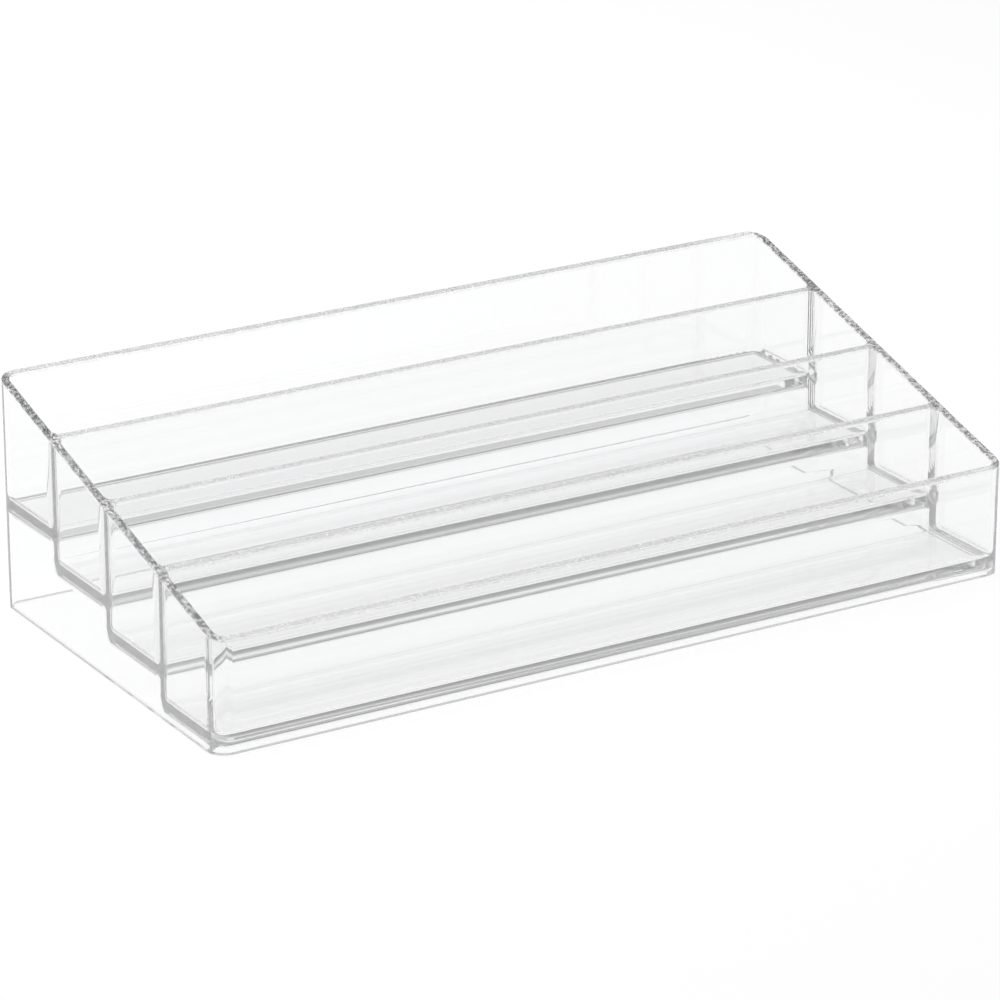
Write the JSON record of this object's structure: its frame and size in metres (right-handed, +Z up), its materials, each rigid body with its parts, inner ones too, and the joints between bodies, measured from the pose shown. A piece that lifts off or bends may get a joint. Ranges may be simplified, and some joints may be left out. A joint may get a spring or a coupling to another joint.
{
  "type": "vanity organizer",
  "caption": "Clear plastic vanity organizer with stepped full-width compartments, a sloping rim and rounded corners, open at the top, for cosmetics and small bottles.",
  "frame": {"origin": "middle of the footprint, on the surface that the organizer stands on", "axes": "+X to the right along the width, +Y from the front wall to the back wall, +Z up"},
  "size_m": [0.33, 0.165, 0.089],
  "materials": {
    "clear_plastic": "polished, clear and colourless"
  },
  "bodies": {
    "root": {"left_end_panel": "clear_plastic", "right_end_panel": "clear_plastic", "front_panel": "clear_plastic", "back_panel": "clear_plastic", "front_divider": "clear_plastic", "middle_divider": "clear_plastic", "rear_divider": "clear_plastic", "front_floor": "clear_plastic", "second_floor": "clear_plastic", "third_floor": "clear_plastic", "rear_floor": "clear_plastic"}
  },
  "joints": []
}
